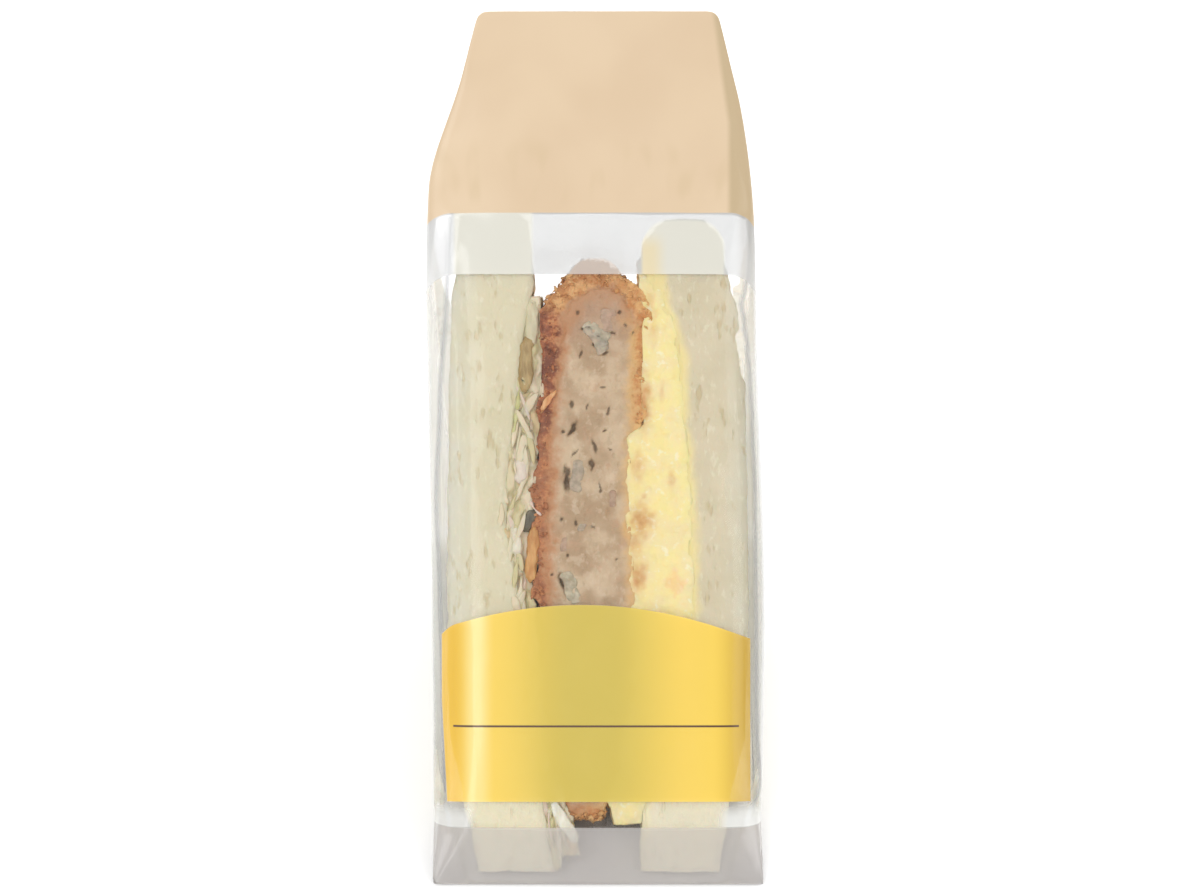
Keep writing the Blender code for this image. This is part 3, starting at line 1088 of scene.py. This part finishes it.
def print_masks(paint):
    """How much of each field of ink there is at a place on the film, 0 to 1."""
    u, v, n = paint.u, paint.v, paint.n
    behind = (-n).most(0)
    level = v + behind.least(5) * 0.25 - (behind - 5).most(0) * 0.35
    dip = (-u - 31.5).most(0) ** 2 * 0.06 + (u - 29.5).most(0) ** 2 * 0.09
    header = (level + dip).rise(HEADER_EDGE - SOFT, HEADER_EDGE + SOFT)
    band = (v + dip + behind * 0.25).rise(BAND_EDGE - SOFT, BAND_EDGE + SOFT) * (1 - header)
    band = band * behind.rise(BAND_DEPTH + 0.3, BAND_DEPTH - 0.3)
    foot_band = (v + n * 0.25).rise(FOOT_EDGE + SOFT, FOOT_EDGE - SOFT)
    bow = ((u - FIELD_MIDDLE) / FIELD_HALF).size() ** 2 * FIELD_TOP_DROP
    bow = bow + (-u - 30.5).most(0) ** 2 * 0.12
    slant = (40 - v).most(0) * 0.058
    inside = (u - FIELD_SIDES[0] - slant).least(FIELD_SIDES[1] - u).least(v - FIELD_BOTTOM)
    inside = inside.least(FIELD_TOP - v - bow)
    on_front = n.rise(-FIELD_DEPTH, -FIELD_DEPTH + 0.4)
    field = inside.rise(-SOFT, SOFT) * on_front
    rule = (v - RULE_AT).size().rise(RULE_WIDTH / 2 + RULE_SOFT, RULE_WIDTH / 2 - RULE_SOFT)
    rule = rule * (u.size() - RULE_REACH).rise(RULE_SOFT, -RULE_SOFT) * on_front
    return header, band, foot_band, field, rule


# %% The film's finish
HEADER_INK = 0.985
RULE_INK = 0.95
CLEAR_HAZE = 0.02
MILKY = 0.78
FOOT_MILKY = 0.47
TUCK_AND_LIGHT_HAZE = 0.72
FIELD_INK = 0.82
SHEEN_SPAN = (9, 16)
SHEEN_STREAKS = 0.26
SEAM_HAZE = 0.16
SIDE_SHEEN = 0.05


def bread_contact(paint):
    """Where bread lies against the milky band, whose thin ink then takes on a little of its colour."""
    left = (paint.u + 13.9).rise(0.6, -0.6) * (paint.u + 31).rise(-0.6, 0.6)
    from_middle = (paint.u - 19).size()
    head = 144.9 - paint.v - (from_middle / 8) ** 4 * 3
    return left.most(head.rise(-0.6, 0.6) * from_middle.rise(9.5, 8.5))


def crust_contact(paint):
    """Where the top of the cutlet lies against the milky band."""
    return (136.4 - paint.v - ((paint.u + 0.2).size() / 5.6) ** 3 * 3.2).rise(-0.4, 0.4)


def field_colour(paint):
    """Yellow that is deeper in the middle and more orange at the left, with painted shade towards the
    right and one painted highlight streak.
    """
    from_middle = (paint.u + 1).size()
    yellow = paint.mix(from_middle.rise(4, 23), (210, 187, 74), (247, 210, 80))
    # A painted highlight: a soft pale streak near the left side of the field.
    yellow = paint.mix((paint.u + 26.2).size().rise(4.2, 0.5) * 0.5, yellow, (255, 240, 170))
    yellow = paint.mix((-paint.u).rise(27, 31), yellow, (238, 190, 44))
    # Painted shade: the yellow goes darker at the right side, where the film turns away.
    return paint.mix(paint.u.rise(25, 34), yellow, (200, 160, 42))


def header_colour(paint):
    """Beige, with painted shade in its wrinkles and on a strip past the fold at its right."""
    cloudy = paint.noise(22, 2).rise(0.3, 0.7)
    beige = paint.mix(cloudy, (214, 190, 158), (209, 184, 152))
    # Painted shade in the film's wrinkles at the root of the header.
    wrinkle_shade = paint.noise(5, 1, 0.5, (1, 0.35, 0)).rise(0.50, 0.70)
    wrinkle_shade = wrinkle_shade * paint.v.rise(164, 158) * paint.v.rise(147, 151)
    beige = paint.mix(wrinkle_shade * 0.5, beige, (202, 178, 142))
    # Painted shade on the strip past the fold at the right, where the header turns back.
    shade_strip_from = 28.8 - (paint.v - 166).most(0) * 0.137
    return paint.mix((paint.u - shade_strip_from).rise(-0.6, 1), beige, (187, 165, 130))


def band_colour(paint, pressed):
    """Milky, with the colours of the bread, the egg and the crust where they press against it, painted
    shade at its right side and painted light at its left side.
    """
    by_egg = (paint.u - 11.5).size().rise(4.5, 0.5) * paint.v.rise(143, 138)
    cream = paint.mix(by_egg, (216, 214, 202), (222, 208, 172))
    milky = paint.mix(pressed, (197, 198, 197), cream)
    milky = paint.mix(crust_contact(paint), milky, (200, 187, 176))
    # Painted shade: the band goes darker at its right side, by the crease.
    milky = paint.mix((paint.u - 30).rise(0, 2.5) * 0.8, milky, (182, 180, 176))
    # Painted light: the band goes lighter at its left side, where it turns away.
    return paint.mix((-paint.u - 31).rise(0, 2.5) * 0.8, milky, (218, 218, 218))


def clear_film(paint):
    """See-through film that shines at a slant, with grey on its folds, more of it on the right as painted
    shade, and painted shade along its crease lines.
    """
    clear = paint.node("ShaderNodeBsdfTransparent", {}, {"Color": (253, 253, 254)})
    gloss = paint.node("ShaderNodeBsdfGlossy", {}, {"Color": (255, 255, 255), "Roughness": 0.10})
    fresnel = paint.node("ShaderNodeLayerWeight", {}, {"Blend": 0.30}, "Fresnel")
    facing = paint.node("ShaderNodeLayerWeight", {}, {"Blend": 0.5}, "Facing")
    film_shader = paint.mix_shaders(fresnel * 0.65, clear, gloss)
    # The grey at a slant is doubled on the right side as painted shade.
    grey = facing.rise(0.50, 0.95) * (paint.u.rise(-5, 5) * 0.34 + 0.34)
    film_shader = paint.mix_shaders(grey, film_shader, paint.diffuse((236, 238, 240)))
    # Painted shade along the crease lines on the front.
    crease_shade_share = paint.layer("crease").size().rise(1, 0.1) * 0.50
    return paint.mix_shaders(crease_shade_share, film_shader, paint.diffuse((158, 160, 163)))


def film_paint():
    paint = Paint("printed film")
    header, band, foot_band, field, rule = print_masks(paint)
    # Milky where the film is tucked in several plies at the foot corners, and painted light as a thin haze
    # over the lower right, low down.
    tucks_and_light = paint.u.size().rise(25.5, 29) * 0.8 + paint.u.rise(6, 14) * 0.15
    tucks_and_light = tucks_and_light * paint.v.rise(19, 14) * (1 - foot_band) * (1 - field)
    in_tucks_and_light = tucks_and_light.rise(0, 0.1)
    pressed = bread_contact(paint)
    colour = paint.mix(header, band_colour(paint, pressed), header_colour(paint))
    colour = paint.mix(foot_band, colour, (207, 202, 198))
    colour = paint.mix(in_tucks_and_light, colour, (240, 241, 238))
    colour = paint.mix(field, colour, field_colour(paint))
    colour = paint.mix(rule, colour, (84, 52, 30))
    # Painted sheen on the film's sides behind the cut face: whitish streaks and a faint haze, besides the
    # real milky seam at the back.
    sheen_streaks = paint.noise(8, 3, 0.6, (0.2, 0.5, 1.4)).rise(0.50, 0.72)
    seam = (paint.u - 1.5).size().rise(5, 4.7) * paint.v.rise(79, 84)
    sheen = (-paint.n).rise(*SHEEN_SPAN) * (1 - header) * (1 - band) * (1 - foot_band)
    # The pale colour of the painted sheen on the sides.
    colour = paint.mix(sheen * (1 - in_tucks_and_light), colour, (240, 241, 243))
    ink = (header * HEADER_INK + band * (pressed * 0.12 + MILKY)).most(foot_band * FOOT_MILKY)
    ink = ink.most(field * FIELD_INK).most(rule * RULE_INK).most(tucks_and_light * TUCK_AND_LIGHT_HAZE).most(CLEAR_HAZE)
    ink = ink.most(sheen * (sheen_streaks * SHEEN_STREAKS + seam * SEAM_HAZE + SIDE_SHEEN))
    waves = paint.noise(16, 2, 0.5, (1, 0.6, 1))
    paint.set(Base_Color=colour, Roughness=0.38, Normal=paint.bump(waves, 0.4), Coat_Roughness=0.1)
    plain = 1 - field * paint.u.rise(20, 28) * 0.8
    paint.set(Coat_Weight=((1 - header) * 0.7 + 0.1) * plain)
    whole = paint.mix_shaders(ink, clear_film(paint), Value(paint, paint.shader.outputs[0]))
    paint.feed(paint.tree.nodes["Material Output"].inputs["Surface"], whole)
    return paint.material


film_piece = finish_piece("film", film, film_paint())

# %% [markdown]
# ## Floor, light and camera
#
# The photograph is taken square to the cut face, against plain white. The pack leans back here, so the
# camera looks down at it by the same angle, and the floor is the whole background.

# %% Floor
def pale_floor():
    bm = bmesh.new()
    bmesh.ops.create_grid(bm, x_segments=1, y_segments=1, size=3)
    mesh = mesh_from("floor", bm)
    finish = bpy.data.materials.new("floor")
    finish.use_nodes = True
    shader = finish.node_tree.nodes["Principled BSDF"]
    shader.inputs["Base Color"].default_value = (0.97, 0.97, 0.97, 1)
    shader.inputs["Roughness"].default_value = 1
    mesh.materials.append(finish)
    return add_object("floor", mesh)


pale_floor()

# %% Light
WORLD_LIGHT = 0.80


def soft_light(name, place, target, size, watts):
    data = bpy.data.lights.new(name, "AREA")
    data.shape = "RECTANGLE"
    data.size, data.size_y = size
    data.energy = watts
    lamp = add_object(name, data)
    lamp.location = place
    lamp.rotation_euler = (Vector(target) - Vector(place)).to_track_quat("-Z", "Y").to_euler()


world = bpy.data.worlds.new("studio")
bpy.context.scene.world = world
world.use_nodes = True
world.node_tree.nodes["Background"].inputs["Color"].default_value = (1, 1, 1, 1)
world.node_tree.nodes["Background"].inputs["Strength"].default_value = WORLD_LIGHT
face_middle = to_world @ Vector((0, 95, 0))
soft_light("key", (-0.9, -0.5, 1.3), face_middle, (0.9, 0.9), 7.3)
soft_light("fill", (1, -0.7, 0.7), face_middle, (0.8, 0.8), 3.5)
strip_place = to_world @ Vector((-210, 80, 1150))
soft_light("strip", strip_place, face_middle, (0.10, 0.9), 1)
soft_light("back", (0.2, 0.75, 0.55), (0, 0.12, 0), (0.9, 0.5), 5)

# %% Camera
PHOTO_WIDTH_MM = 261.6
SENSOR_MM = 36
LENS_MM = 100
AIM = (0.87, 95.2, 0)

camera_data = bpy.data.cameras.new("camera")
camera_data.sensor_width = SENSOR_MM
camera_data.lens = LENS_MM
distance_mm = PHOTO_WIDTH_MM * LENS_MM / SENSOR_MM
camera = add_object("camera", camera_data)
camera.location = to_world @ Vector((AIM[0], AIM[1], distance_mm))
camera.rotation_euler = (LEAN, 0, 0)
bpy.context.scene.camera = camera
bpy.context.scene.view_settings.view_transform = "Standard"
print("camera stands", round(distance_mm / 1000, 3), "metres from the cut face")
